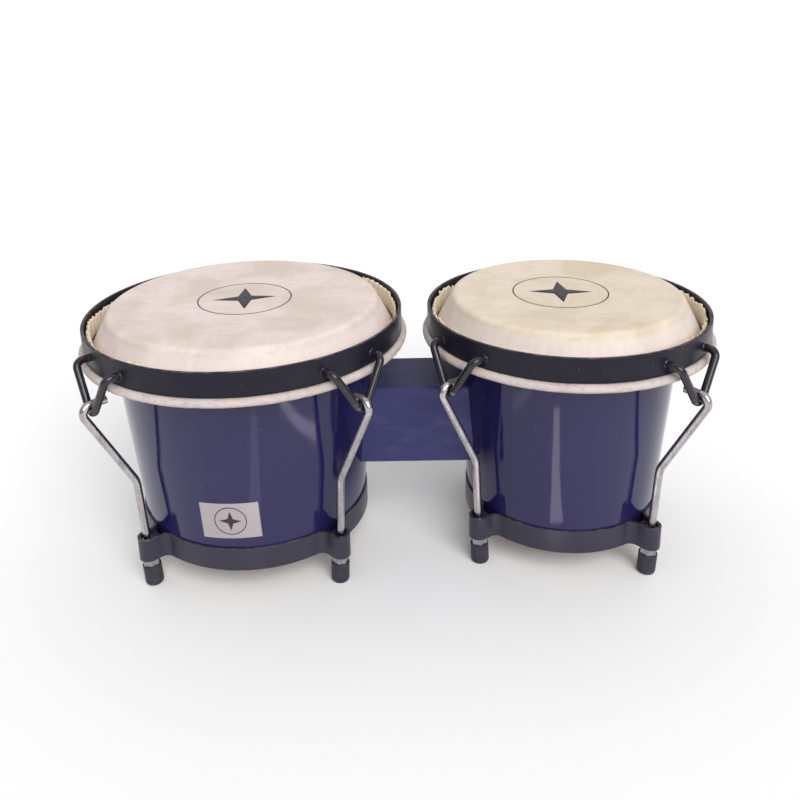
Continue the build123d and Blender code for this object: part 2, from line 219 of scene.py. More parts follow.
def skin_head(drum):
    stations = skin_stations(drum)
    outer, inner = [], []
    for s in range(HEAD_SEGMENTS):
        angle = TURN * s / HEAD_SEGMENTS
        for r, z, across, up, thick, wavy in stations:
            lift = wavy * wall_folds(drum, angle, z)
            if up == 1.0:
                lift += head_swell(drum, r * math.sin(angle), -r * math.cos(angle))
            outer.append(drum.point(r + across * lift, angle, z + up * lift))
            inner.append(drum.point(r + across * (lift - thick), angle, z + up * (lift - thick)))
    count, total = len(stations), len(outer)
    faces = ring_faces(HEAD_SEGMENTS, count, False)
    faces += [tuple(total + v for v in reversed(f)) for f in faces]
    top, under = 2 * total, 2 * total + 1
    for s in range(HEAD_SEGMENTS):
        here, after = s * count, (s + 1) % HEAD_SEGMENTS * count
        faces.append((top, here, after))
        faces.append((under, total + after, total + here))
        last, next_last = here + count - 1, after + count - 1
        faces.append((last, total + last, total + next_last, next_last))
    middle = [drum.point(0, 0, drum.head_top + head_swell(drum, 0, 0)),
              drum.point(0, 0, drum.head_top - SKIN + head_swell(drum, 0, 0))]
    piece = make_piece(f"{drum.name}_skin", outer + inner + middle, faces,
                       rawhide(drum))
    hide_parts(f"{drum.name}_head")
    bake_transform(piece)


# ---- the skin's edge: lapped round the flesh hoop, its trimmed end standing inside the rim ----
RING_LEAVES = math.radians(160)  # where the tuck's outer and inner faces meet the ring
RING_JOINS = math.radians(195)
TUCK_BELOW_RIM = 2.3            # millimetres from the rim's top edge down to the mean trimmed edge
TUCK_TALLEST = 0.3              # and the most that the edge may stand over the rim
PLEATS = 90


def tuck_inner(share):
    """Inner face of the tuck, from the ring's centre: it swells in towards the side wall."""
    return (-2.9 - 2.9 * smoothstep(share / 0.32) + 0.5 * share) * MM


def tuck_outer(share):
    """Outer face of the tuck: up along the rim, then curling in."""
    return (-2.75 - 2.0 * share ** 2) * MM


def lap_stations():
    """The lapped edge's closed outline: (radius, height) from the ring's centre, and tuck share."""
    sweep = TURN - (RING_JOINS - RING_LEAVES)
    found = []
    for k in range(RING_STEPS + 1):
        a = RING_LEAVES - sweep * k / RING_STEPS
        found.append((RING * math.cos(a), RING * math.sin(a), 0.0))
    foot = RING * math.sin(RING_JOINS)
    for k in range(1, TUCK_STEPS + 1):
        found.append((tuck_inner(k / TUCK_STEPS), foot, k / TUCK_STEPS))
    found.append(((tuck_inner(1.0) + tuck_outer(1.0)) / 2, foot + 0.25 * MM, 1.0))
    for k in range(TUCK_STEPS, 0, -1):
        share = k / TUCK_STEPS
        found.append((tuck_outer(share), foot + 1.2 * MM * (1 - share), share))
    return found


def pleat_phase(drum, angle):
    """Half the phase of the pleats round the trimmed edge, bunched here and spread there."""
    return PLEATS / 2 * angle + 4.0 * ripple(angle, 9, drum.seed + 8)


def tuck_height(drum, angle):
    """Height of the trimmed edge over the ring's centre: hand cut, so it steps and frays."""
    rim_edge = drum.rim_top - drum.ring_z
    ragged = 1.3 * ripple(angle, 8, drum.seed + 3) + 0.8 * steps(angle, 52, drum.seed + 4)
    scallops = abs(math.sin(pleat_phase(drum, angle)))
    frayed = 0.5 * ripple(angle, 130, drum.seed + 6) + 0.3 * ripple(angle, 420, drum.seed + 7)
    return rim_edge + min(ragged + 0.8 * scallops + frayed - TUCK_BELOW_RIM, TUCK_TALLEST) * MM


def tuck_lean(drum, angle):
    """Sideways wave of the tuck's free edge: narrow pleats of uneven width and size."""
    size = 0.6 + 0.4 * ripple(angle, 5, drum.seed + 9) + 0.3 * ripple(angle, 31, drum.seed + 14)
    pleats = min(size, 1.1) * math.sin(2 * pleat_phase(drum, angle))
    return (pleats + 0.5 * ripple(angle, 24, drum.seed + 10)
            + 0.2 * ripple(angle, 200, drum.seed + 13)) * MM


def ring_relief(drum, angle, around):
    """Lumps and creases of the hide on the ring."""
    lumps = ripple(angle, 70, drum.seed + 11 + around * 0.4)
    crease = max(0.0, 1 - 9 * abs(ripple(angle, 34, drum.seed + 12 + around * 0.15)))
    return (0.09 * lumps - 0.2 * crease) * MM


def skin_edge(drum):
    stations = lap_stations()
    vertices = []
    for s in range(LAP_SEGMENTS):
        angle = TURN * s / LAP_SEGMENTS
        height, lean = tuck_height(drum, angle), tuck_lean(drum, angle)
        for r, z, share in stations:
            if share:
                across, up = r + lean * share ** 1.4, z + (height - z) * share
            else:
                around = math.atan2(z, r)
                out = 1 + ring_relief(drum, angle, around) / RING
                across, up = r * out, z * out
            vertices.append(drum.point(drum.ring_radius + across, angle, drum.ring_z + up))
    piece = make_piece(f"{drum.name}_skin_edge", vertices,
                       ring_faces(LAP_SEGMENTS, len(stations), True),
                       lapped_hide(drum), f"{drum.name}_rim_set")
    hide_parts(f"{drum.name}_skin_lap")


# ---- weld beads where the loops meet the rim ----
BEAD_SIDES = 20
# each ring of a bead, from the rim outwards: past the wire's radius, and off the rim's face
BEAD_RINGS = [(0.55, -0.1), (0.38, 0.06), (0.2, 0.22), (0.06, 0.45), (-0.06, 0.7)]


def weld_bead(drum, lug, side, vertices, faces):
    """Adds one bead round a wire's end: a rough fillet between the wire and the rim's face."""
    first = len(vertices)
    turn = Matrix.Rotation(lug, 3, "Z")
    for number, (spread, rise) in enumerate(BEAD_RINGS):
        for k in range(BEAD_SIDES):
            a = TURN * k / BEAD_SIDES
            where = (3 * math.cos(a), 3 * math.sin(a), drum.seed + lug * 7 + side + number / 3)
            rough = noise.noise(where)
            reach = WIRE + spread * (1 + 0.35 * rough) * MM
            y = side * LOOP_HALF_WIDTH + reach * math.cos(a)
            z = drum.loop_wire_z + reach * math.sin(a)
            x = math.sqrt(drum.rim_radius ** 2 - y ** 2) + rise * (1 + 0.3 * rough) * MM
            place = turn @ Vector((y, -x, 0))
            vertices.append((drum.centre_x + place.x, place.y, z))
    for number in range(len(BEAD_RINGS) - 1):
        for k in range(BEAD_SIDES):
            after = (k + 1) % BEAD_SIDES
            low, high = first + number * BEAD_SIDES, first + (number + 1) * BEAD_SIDES
            faces.append((low + k, low + after, high + after, high + k))
    last = first + (len(BEAD_RINGS) - 1) * BEAD_SIDES
    faces.append(tuple(first + k for k in reversed(range(BEAD_SIDES))))
    faces.append(tuple(last + k for k in range(BEAD_SIDES)))


def weld_beads(drum):
    vertices, faces = [], []
    for lug in drum.lug_angles:
        for side in (-1, 1):
            weld_bead(drum, lug, side, vertices, faces)
    make_piece(f"{drum.name}_loop_welds", vertices, faces, black_wire(drum),
               f"{drum.name}_rim_set")


# ---- printed mark: a thin ring with a solid star inside ----
STAR_TIPS = 4
PRINT_SIDES = 112
STAR_HUB = 0.02                 # the solid star's faces start this share of the way out
HEAD_MARK = (33 * MM, 0.9 * MM, 22 * MM, 6.5 * MM, 0.09 * MM)
LABEL_MARK = (10.8 * MM, 0.6 * MM, 7.5 * MM, 2.5 * MM, 0.07 * MM)
PRINT_SINK = 0.02 * MM          # a head print's underside is this far inside the skin
LABEL_SINK = 0.03 * MM          # and the label print's in the foil
LABEL_CORNER = 2 * MM           # the label's corners are within this of its top and bottom


def star_outline(tip, waist):
    """Points along a star with four long tips, the first one a tip."""
    corners = []
    for n in range(2 * STAR_TIPS):
        reach, a = waist if n % 2 else tip, math.pi * n / STAR_TIPS
        corners.append((reach * math.cos(a), reach * math.sin(a)))
    per_side = PRINT_SIDES // len(corners)
    found = []
    for n, (ax, ay) in enumerate(corners):
        bx, by = corners[(n + 1) % len(corners)]
        for k in range(per_side):
            share = k / per_side
            found.append((ax + (bx - ax) * share, ay + (by - ay) * share))
    return found


def printed_mark(name, mark, place):
    """A flat print on a curved face. mark is the ring's radius and line, the star's tip and waist,
    and the print's thickness. place turns a flat point and a height into the frame."""
    radius, line, tip, waist, thick = mark
    circle = [(radius * math.cos(TURN * k / PRINT_SIDES), radius * math.sin(TURN * k / PRINT_SIDES))
              for k in range(PRINT_SIDES)]
    vertices, faces = [], []
    for outline, inside in ((circle, 1 - line / radius), (star_outline(tip, waist), STAR_HUB)):
        first = len(vertices)
        for x, y in outline:
            for share in (inside, 1.0):
                for height in (thick, 0.0):
                    vertices.append(place(x * share, y * share, height))
        for k in range(PRINT_SIDES):
            i, j = first + 4 * k, first + 4 * ((k + 1) % PRINT_SIDES)
            faces += [(i, j, j + 2, i + 2), (i + 2, j + 2, j + 3, i + 3),
                      (i + 3, j + 3, j + 1, i + 1), (i + 1, j + 1, j, i)]
    faces.append(tuple(first + 4 * k for k in reversed(range(PRINT_SIDES))))
    faces.append(tuple(first + 4 * k + 1 for k in range(PRINT_SIDES)))
    make_piece(name, vertices, faces, ink(), "root")


def head_print(drum):
    """The mark printed on a head, a little off the middle, following the skin."""
    turn = math.radians(8 if drum.name == "large" else -5)
    across = (0.8 if drum.name == "large" else -4) * MM

    def place(x, y, height):
        u = across + x * math.cos(turn) - y * math.sin(turn)
        v = x * math.sin(turn) + y * math.cos(turn)
        z = drum.head_top + head_swell(drum, u, v) + height - PRINT_SINK
        return (drum.centre_x + u, v, z)

    printed_mark(f"{drum.name}_head_print", HEAD_MARK, place)


def label_print():
    """The same mark, small, on the foil label. It follows the shell's cone."""
    low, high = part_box("label")
    centre = (low + high) / 2
    places = [v.co for v in frame["nodes"]["label"].data.vertices]
    # the label's outer face as a cone: radius against height, from its own corners
    reaches = [(math.hypot(p.x - LARGE.centre_x, p.y), p.z) for p in places]
    top = max(reach for reach, z in reaches if z > high.z - LABEL_CORNER)
    bottom = max(reach for reach, z in reaches if z < low.z + LABEL_CORNER)
    slope = (top - bottom) / (high.z - low.z - LABEL_CORNER)
    middle_angle = math.atan2(centre.x - LARGE.centre_x, -low.y)

    def place(x, y, height):
        z = centre.z + y
        radius = bottom + (z - low.z - LABEL_CORNER / 2) * slope + height - LABEL_SINK
        return LARGE.point(radius, middle_angle + x / radius, z)

    printed_mark("label_print", LABEL_MARK, place)


# ---- shaders ----
class Shader:
    """One procedural material. Its textures are in metres of the shared frame."""

    def __init__(self, name):
        self.material = bpy.data.materials.new(name)
        self.material.use_nodes = True
        self.tree = self.material.node_tree
        self.surface = self.tree.nodes["Principled BSDF"]
        self.place = self.node("ShaderNodeTexCoord").outputs["Object"]

    def node(self, kind, **settings):
        made = self.tree.nodes.new(kind)
        for key, value in settings.items():
            setattr(made, key, value)
        return made

    def link(self, value, socket):
        if isinstance(value, bpy.types.NodeSocket):
            self.tree.links.new(value, socket)
        else:
            socket.default_value = value

    def feed(self, **inputs):
        """Sets the surface's inputs: base_color sets Base Color."""
        for key, value in inputs.items():
            name = " ".join(w.upper() if w == "ior" else w.capitalize() for w in key.split("_"))
            if isinstance(value, tuple) and len(value) == 3 and name.endswith(("Color", "Tint")):
                value = (*value, 1.0)
            self.link(value, self.surface.inputs[name])

    def math(self, operation, a, b=0.0):
        made = self.node("ShaderNodeMath", operation=operation)
        self.link(a, made.inputs[0])
        self.link(b, made.inputs[1])
        return made.outputs[0]

    def vector(self, operation, a, b=(0.0, 0.0, 0.0)):
        made = self.node("ShaderNodeVectorMath", operation=operation)
        self.link(a, made.inputs[0])
        self.link(b, made.inputs[1])
        return made.outputs["Value" if operation in ("DOT_PRODUCT", "LENGTH") else "Vector"]

    def axis(self, which, of=None):
        made = self.node("ShaderNodeSeparateXYZ")
        self.link(of or self.place, made.inputs[0])
        return made.outputs[which]

    def noise(self, size, detail=3.0, roughness=0.55, stretch=(1, 1, 1), distortion=0.0, of=None):
        """Noise with features of that size in metres, drawn out along an axis by stretch."""
        made = self.node("ShaderNodeTexNoise")
        scaled = self.vector("MULTIPLY", of or self.place, tuple(1 / (size * s) for s in stretch))
        self.link(scaled, made.inputs["Vector"])
        made.inputs["Scale"].default_value = 1.0
        made.inputs["Detail"].default_value = detail
        made.inputs["Roughness"].default_value = roughness
        made.inputs["Distortion"].default_value = distortion
        return made.outputs["Fac"]

    def specks(self, spacing, size, stretch=(1, 1, 1)):
        """1 inside round specks about that far apart and that large, and 0 outside."""
        made = self.node("ShaderNodeTexVoronoi")
        scaled = self.vector("MULTIPLY", self.place, tuple(1 / (spacing * s) for s in stretch))
        self.link(scaled, made.inputs["Vector"])
        made.inputs["Scale"].default_value = 1.0
        share = size / spacing
        near = self.ramp(made.outputs["Distance"], share, share * 0.35)
        picked = self.ramp(self.axis(0, made.outputs["Color"]), 0.55, 0.62)
        return self.math("MULTIPLY", near, picked)

    def ramp(self, value, low, high, to_low=0.0, to_high=1.0):
        """Runs smoothly from to_low to to_high as the value goes from low to high."""
        made = self.node("ShaderNodeMapRange", interpolation_type="SMOOTHSTEP")
        for socket, given in zip(made.inputs, (value, low, high, to_low, to_high)):
            self.link(given, socket)
        return made.outputs[0]

    def mix(self, share, a, b):
        made = self.node("ShaderNodeMix", data_type="RGBA")
        self.link(share, made.inputs[0])
        for value, socket in ((a, made.inputs[6]), (b, made.inputs[7])):
            self.link((*value, 1.0) if isinstance(value, tuple) else value, socket)
        return made.outputs[2]

    def bump(self, *layers):
        """Raises the surface by height sockets, each with its full depth in metres."""
        normal = None
        for height, depth in layers:
            made = self.node("ShaderNodeBump")
            made.inputs["Distance"].default_value = depth
            self.link(height, made.inputs["Height"])
            if normal:
                self.link(normal, made.inputs["Normal"])
            normal = made.outputs["Normal"]
        self.feed(normal=normal)

    def away_from_axis(self, drum):
        """The level direction from the drum's axis to the place."""
        offset = self.vector("SUBTRACT", self.place, (drum.centre_x, 0, 0))
        return self.vector("NORMALIZE", self.vector("MULTIPLY", offset, (1, 1, 0)))

    def outward(self, drum):
        """How squarely a face looks away from the drum's axis, from -1 to 1."""
        facing = self.node("ShaderNodeNewGeometry").outputs["Normal"]
        return self.vector("DOT_PRODUCT", self.away_from_axis(drum), facing)

    def down_wall(self, drum):
        """The place moved level to the ring's radius, where noise follows the flaring wall."""
        round_ring = self.vector("MULTIPLY", self.away_from_axis(drum), (drum.ring_radius,) * 3)
        return self.vector("ADD", round_ring, self.vector("MULTIPLY", self.place, (0, 0, 1)))

    def round_angle(self, drum):
        """Angle round the drum's axis, in turns."""
        flat = self.vector("SUBTRACT", self.place, (drum.centre_x, 0, 0))
        angle = self.math("ARCTAN2", self.axis(0, flat), self.axis(1, flat))
        return self.math("DIVIDE", angle, TURN)


def lacquered_wood(drum):
    """Deep indigo gloss lacquer outside; bare staves inside and on the end grain."""
    s = Shader(f"{drum.name}_lacquer")
    outside = s.ramp(s.outward(drum), 0.25, 0.45)
    cloud = s.noise(0.07, 3.0)
    blue = s.mix(cloud, (0.0125, 0.009, 0.060), (0.0185, 0.014, 0.077))
    dust = s.specks(0.006, 0.0005)
    blue = s.mix(s.math("MULTIPLY", dust, 0.35), blue, (0.30, 0.28, 0.33))
    staves = 20
    stave = s.math("MULTIPLY", s.round_angle(drum), staves)
    tone = s.node("ShaderNodeTexWhiteNoise", noise_dimensions="1D")
    s.link(s.math("FLOOR", stave), tone.inputs["W"])
    grain = s.noise(0.0016, 4.0, 0.65, (1, 1, 26), 0.4)
    wood = s.mix(grain, (0.46, 0.29, 0.15), (0.68, 0.48, 0.29))
    wood = s.mix(s.math("MULTIPLY", tone.outputs["Value"], 0.4), wood, (0.42, 0.27, 0.15))
    seam = s.ramp(s.math("PINGPONG", stave, 0.5), 0.02, 0.0)
    wood = s.mix(s.math("MULTIPLY", seam, 0.7), wood, (0.14, 0.08, 0.04))
    smudge = s.noise(0.022, 4.0, 0.6)
    gloss = s.math("ADD", s.ramp(smudge, 0.35, 0.75, 0.06, 0.13), s.math("MULTIPLY", dust, 0.4))
    bare = s.math("SUBTRACT", 1.0, outside)
    dull = s.math("MULTIPLY", bare, 0.62)
    s.feed(base_color=s.mix(outside, wood, blue),
           roughness=s.math("ADD", s.math("MULTIPLY", outside, gloss), dull),
           specular_ior_level=0.5)
    s.bump((s.math("MULTIPLY", s.noise(0.003, 2.0), outside), 0.012 * MM),
           (s.math("MULTIPLY", s.noise(0.035, 2.0, 0.5, (1, 1, 3)), outside), 0.25 * MM),
           (s.math("MULTIPLY", grain, bare), 0.12 * MM))
    return s.material


def painted_block():
    """Satin blue stain over open grain that runs from drum to drum."""
    s = Shader("block_stain")
    grain = s.noise(0.0011, 5.0, 0.7, (34, 1, 1), 0.3)
    pores = s.ramp(s.noise(0.0007, 2.0, 0.5, (16, 1, 1)), 0.36, 0.26)
    patch = s.noise(0.018, 3.0, 0.6, (2.5, 1, 1))
    blue = s.mix(grain, (0.021, 0.020, 0.086), (0.044, 0.043, 0.150))
    blue = s.mix(s.ramp(patch, 0.45, 0.75, 0.0, 0.5), blue, (0.075, 0.072, 0.185))
    blue = s.mix(s.math("MULTIPLY", pores, 0.6), blue, (0.010, 0.009, 0.040))
    s.feed(base_color=blue, roughness=s.ramp(grain, 0.3, 0.7, 0.36, 0.52), specular_ior_level=0.25)
    s.bump((grain, 0.10 * MM), (pores, -0.10 * MM))
    return s.material


def hide_layers(s, warmth, light, dark, flecked):
    """The mottled cream of rawhide: clouds, faint fibre streaks, stains and brown flecks."""
    cloud = s.noise(0.045, 4.0, 0.6, distortion=0.6)
    blotch = s.noise(0.014, 4.0, 0.65, distortion=0.8)
    fibre = s.noise(0.0016, 4.0, 0.6, (18, 1, 1), 0.6)
    hide = s.mix(s.ramp(cloud, 0.35, 0.7), light, dark)
    hide = s.mix(s.ramp(blotch, 0.48, 0.68, 0.0, 0.55), hide, (0.68, 0.55, 0.46 - 0.09 * warmth))
    hide = s.mix(s.ramp(fibre, 0.5, 0.76, 0.0, 0.42), hide, (0.53, 0.42, 0.31))
    stain = s.ramp(s.noise(0.028, 5.0, 0.7, distortion=1.5), 0.58, 0.76, 0.0, 0.45)
    hide = s.mix(stain, hide, (0.56, 0.46, 0.32))
    smudge = s.ramp(s.noise(0.035, 4.0, 0.6, (1, 1.6, 1), 0.8), 0.56, 0.72, 0.0, 0.4)
    hide = s.mix(smudge, hide, (0.53, 0.48, 0.47))
    grit = s.ramp(s.noise(0.0022, 3.0, 0.7), 0.60, 0.74, 0.0, 0.35)
    hide = s.mix(grit, hide, (0.50, 0.42, 0.36))
    fleck = s.math("MULTIPLY", s.specks(0.009, 0.0007), flecked)
    return s.mix(fleck, hide, (0.32, 0.20, 0.12)), cloud, blotch, fibre


def rawhide(drum):
    s = Shader(f"{drum.name}_rawhide")
    warmth = drum.hide_warmth
    light = (0.75, 0.65, 0.65 - 0.13 * warmth)
    dark = (0.62, 0.52, 0.48 - 0.10 * warmth)
    hide, cloud, blotch, fibre = hide_layers(s, warmth, light, dark, 0.5)
    wall = s.ramp(s.axis(2), drum.head_top - 2.5 * MM, drum.head_top - 7 * MM)
    hide = s.mix(s.math("MULTIPLY", wall, 0.7), hide, (0.80, 0.70, 0.68))
    streaks = s.noise(0.0055, 5.0, 0.7, (1, 1, 5), 0.4, s.down_wall(drum))
    pulled = s.ramp(streaks, 0.46, 0.72, 0.0, 0.45)
    hide = s.mix(s.math("MULTIPLY", wall, pulled), hide, (0.62, 0.55, 0.53))
    low = s.ramp(s.axis(2), drum.ring_z + 9 * MM, drum.ring_z + 2 * MM)
    hide = s.mix(s.math("MULTIPLY", low, 0.5), hide, (0.66, 0.55, 0.38))
    s.feed(base_color=hide, roughness=s.ramp(blotch, 0.3, 0.7, 0.42, 0.6),
           specular_ior_level=0.4, subsurface_weight=0.12, subsurface_radius=(1.0, 0.6, 0.35),
           subsurface_scale=2.0 * MM)
    s.bump((cloud, 0.5 * MM), (blotch, 0.12 * MM), (fibre, 0.03 * MM),
           (s.math("MULTIPLY", pulled, wall), -0.10 * MM), (s.noise(0.0009, 2.0), 0.03 * MM))
    return s.material


def lapped_hide(drum):
    """The same hide where it is folded and trimmed: drier, yellower at the cut, with painted shade
    below the ring.
    """
    s = Shader(f"{drum.name}_lapped_hide")
    light, dark = (0.60, 0.53, 0.53), (0.50, 0.43, 0.41)
    hide, _, blotch, _ = hide_layers(s, 0.3, light, dark, 0.9)
    z = s.axis(2)
    raised = s.ramp(z, drum.ring_z + 2.5 * MM, drum.ring_z + 6 * MM)
    cut = s.mix(s.noise(0.004, 3.0, 0.6, (1, 1, 3)), (0.86, 0.78, 0.62), (0.68, 0.57, 0.38))
    hide = s.mix(s.math("MULTIPLY", raised, 0.9), hide, cut)
    spots = s.ramp(s.noise(0.0045, 4.0, 0.7, (1, 1, 0.5)), 0.50, 0.66, 0.0, 0.5)
    spots = s.math("MULTIPLY", spots, s.math("SUBTRACT", 1.0, raised))
    hide = s.mix(spots, hide, (0.36, 0.27, 0.22))
    # painted shade: the ring's underside is darkened, in uneven patches
    under = s.ramp(z, drum.ring_z - 0.2 * MM, drum.ring_z - 3.0 * MM)
    painted_shade_under_ring = s.math("MULTIPLY", under, s.ramp(s.noise(0.012, 4.0, 0.65), 0.3, 0.65, 0.35, 0.9))
    hide = s.mix(painted_shade_under_ring, hide, (0.27, 0.22, 0.21))
    s.feed(base_color=hide, roughness=0.62, specular_ior_level=0.35, subsurface_weight=0.08,
           subsurface_radius=(1.0, 0.6, 0.35), subsurface_scale=1.5 * MM)
    s.bump((blotch, 0.25 * MM), (s.noise(0.0012, 3.0), 0.10 * MM))
    return s.material


def coated_steel(drum, part, edge, reach, tone, shine):
    """Black powder coat with a fine skin texture, pale along the band's top edge: partly rubbed
    wear, partly a painted highlight.
    """
    s = Shader(f"{drum.name}_{part}_coat")
    texture = s.noise(0.0007, 2.0)
    cloud = s.noise(0.02, 3.0)
    black = s.mix(cloud, tuple(0.8 * c for c in tone), tuple(1.2 * c for c in tone))
    patchy = s.ramp(s.noise(0.008, 4.0, 0.7), 0.42, 0.72)
    # the pale top edge is partly wear and partly a painted highlight along the edge
    worn_and_highlit_edge = s.math("MULTIPLY", s.ramp(s.axis(2), edge - reach, edge), patchy)
    black = s.mix(s.math("MULTIPLY", worn_and_highlit_edge, 0.55), black, (0.20, 0.17, 0.17))
    dust = s.specks(0.005, 0.00045)
    black = s.mix(s.math("MULTIPLY", dust, 0.4), black, (0.25, 0.24, 0.25))
    s.feed(base_color=black, roughness=s.ramp(cloud, 0.3, 0.7, 0.30, 0.42),
           specular_ior_level=shine)
    s.bump((texture, 0.02 * MM), (s.noise(0.012, 2.0), 0.12 * MM))
    return s.material


def black_wire(drum):
    """Dipped black wire: glossier than the rim, worn through where a hook bears on it."""
    s = Shader(f"{drum.name}_wire_coat")
    seat = s.ramp(s.axis(2), drum.loop_low_z + 9 * MM, drum.loop_low_z + 3 * MM)
    worn = s.math("MULTIPLY", seat, s.ramp(s.noise(0.003, 4.0, 0.7), 0.5, 0.66))
    black = s.mix(s.noise(0.01, 3.0), (0.010, 0.008, 0.014), (0.020, 0.017, 0.026))
    s.feed(base_color=s.mix(s.math("MULTIPLY", worn, 0.7), black, (0.35, 0.33, 0.33)),
           metallic=s.math("MULTIPLY", worn, 0.8),
           roughness=s.ramp(s.noise(0.006, 3.0), 0.3, 0.7, 0.10, 0.24))
    s.bump((s.noise(0.002, 2.0), 0.03 * MM), (s.noise(0.007, 2.0), 0.10 * MM))
    return s.material


def plated_steel():
    """Nickel plate over drawn rod: fine lines along the rod, pits, a dull bloom, and dark streaks
    along the rod that are partly drawn marks and partly a painted dark reflection.
    """
    s = Shader("plated_steel")
    bloom = s.noise(0.012, 4.0, 0.65)
    lines = s.noise(0.0004, 2.0, 0.5, (1, 1, 40))
    colour = s.mix(s.ramp(bloom, 0.35, 0.75), (0.54, 0.51, 0.52), (0.38, 0.35, 0.35))
    # dark streaks along the rod: partly drawn marks, partly a painted dark reflection
    drawn_lines_and_dark_reflection = s.ramp(s.noise(0.0012, 4.0, 0.65, (1, 1, 30)), 0.48, 0.66, 0.0, 0.55)
    colour = s.mix(drawn_lines_and_dark_reflection, colour, (0.24, 0.21, 0.21))
    pits = s.specks(0.003, 0.0003)
    colour = s.mix(s.math("MULTIPLY", pits, 0.7), colour, (0.20, 0.16, 0.14))
    rough = s.math("ADD", s.ramp(bloom, 0.35, 0.75, 0.21, 0.34), s.math("MULTIPLY", pits, 0.3))
    s.feed(base_color=colour, metallic=1.0, roughness=rough)
    s.bump((lines, 0.012 * MM), (s.noise(0.004, 2.0), 0.02 * MM), (pits, -0.04 * MM))
    return s.material


def zinc(name, tone, roughness):
    """Zinc plate on turned steel, slightly cloudy, with marks from spanners."""
    s = Shader(name)
    cloud = s.noise(0.003, 4.0, 0.7)
    bright = tuple(c * tone for c in (0.66, 0.65, 0.66))
    dull = tuple(c * tone for c in (0.46, 0.45, 0.46))
    marks = s.ramp(s.noise(0.0006, 3.0, 0.6, (1, 1, 0.2)), 0.60, 0.72)
    s.feed(base_color=s.mix(s.ramp(cloud, 0.3, 0.7), bright, dull), metallic=1.0,
           roughness=s.math("ADD", roughness, s.math("MULTIPLY", marks, 0.2)))
    s.bump((cloud, 0.03 * MM), (marks, -0.03 * MM))
    return s.material


def moulded_rubber():
    """Matt black rubber, dusty in patches and scuffed pale where it stands."""
    s = Shader("foot_rubber")
    cloud = s.noise(0.005, 4.0, 0.65)
    black = s.mix(s.ramp(cloud, 0.35, 0.8), (0.020, 0.018, 0.030), (0.048, 0.043, 0.062))
    patchy = s.ramp(s.noise(0.002, 3.0), 0.4, 0.7)
    scuff = s.math("MULTIPLY", s.ramp(s.axis(2), 2.6 * MM, 0.0), patchy)
    black = s.mix(s.math("MULTIPLY", scuff, 0.5), black, (0.16, 0.15, 0.15))
    s.feed(base_color=black, roughness=s.ramp(cloud, 0.3, 0.7, 0.48, 0.66), specular_ior_level=0.4)
    s.bump((s.noise(0.0006, 2.0), 0.03 * MM), (cloud, 0.05 * MM))
    return s.material


def brushed_foil():
    """Thin silver foil, brushed along its length, slightly creased where it was pressed on."""
    s = Shader("label_foil")
    brushed = s.noise(0.0003, 2.0, 0.6, (60, 60, 1))
    crease = s.noise(0.012, 3.0, 0.6)
    colour = s.mix(brushed, (0.40, 0.36, 0.37), (0.55, 0.50, 0.51))
    s.feed(base_color=colour, metallic=0.75, roughness=s.ramp(brushed, 0.3, 0.7, 0.30, 0.44))
    s.bump((brushed, 0.008 * MM), (crease, 0.15 * MM))
    return s.material


def ink():
    """Black screen-print ink, slightly broken where the skin under it is rough."""
    if "print_ink" in bpy.data.materials:
        return bpy.data.materials["print_ink"]
    s = Shader("print_ink")
    thin = s.ramp(s.noise(0.0012, 4.0, 0.7), 0.55, 0.8)
    colour = s.mix(s.math("MULTIPLY", thin, 0.5), (0.022, 0.014, 0.020), (0.20, 0.15, 0.12))
    s.feed(base_color=colour, roughness=s.ramp(thin, 0.0, 1.0, 0.42, 0.6))
    s.bump((s.noise(0.0008, 2.0), 0.02 * MM))
    return s.material


def paint(shader, *names):
    """Gives CAD nodes a material."""
    for name in names:
        mesh = frame["nodes"][name].data
        mesh.materials.clear()
        mesh.materials.append(shader)


# ---- stage ----
def floor():
    mesh = bpy.data.meshes.new("floor")
    square = ((-1, -1), (1, -1), (1, 1), (-1, 1))
    corners = [(x * FLOOR_HALF, y * FLOOR_HALF, 0) for x, y in square]
    mesh.from_pydata(corners, [], [(0, 1, 2, 3)])
    plane = bpy.data.objects.new("floor", mesh)
    bpy.context.scene.collection.objects.link(plane)
    s = Shader("floor_paper")
    s.feed(base_color=s.mix(s.noise(0.4, 2.0), (FLOOR_TONE,) * 3, (FLOOR_TONE + 0.006,) * 3),
           roughness=0.9, specular_ior_level=0.0)
    mesh.materials.append(s.material)


def sky():
    """Soft white room: bright overhead and behind, dimmer in front, plain to the camera."""
    world = bpy.data.worlds.new("studio")
    world.use_nodes = True
    tree = world.node_tree
    background = tree.nodes["Background"]

    def node(kind, **settings):
        made = tree.nodes.new(kind)
        for key, value in settings.items():
            setattr(made, key, value)
        return made

    def ramp(socket, low, high, to_low, to_high):
        made = node("ShaderNodeMapRange", interpolation_type="SMOOTHSTEP")
        tree.links.new(socket, made.inputs[0])
        for place, value in zip((1, 2, 3, 4), (low, high, to_low, to_high)):
            made.inputs[place].default_value = value
        return made.outputs[0]

    split = node("ShaderNodeSeparateXYZ")
    tree.links.new(node("ShaderNodeTexCoord").outputs["Generated"], split.inputs[0])
    overhead = ramp(split.outputs[2], 0.05, 0.95, SKY_LOW, SKY_TOP)
    behind = ramp(split.outputs[1], -0.5, 0.9, 0.0, SKY_BEHIND)
    total = node("ShaderNodeMath", operation="ADD")
    tree.links.new(overhead, total.inputs[0])
    tree.links.new(behind, total.inputs[1])
    seen = node("ShaderNodeMix", data_type="FLOAT")
    tree.links.new(node("ShaderNodeLightPath").outputs["Is Camera Ray"], seen.inputs[0])
    tree.links.new(total.outputs[0], seen.inputs[2])
    seen.inputs[3].default_value = FLOOR_SEEN
    tree.links.new(seen.outputs[0], background.inputs["Strength"])
    background.inputs["Color"].default_value = (1.0, 1.0, 1.0, 1.0)
    bpy.context.scene.world = world


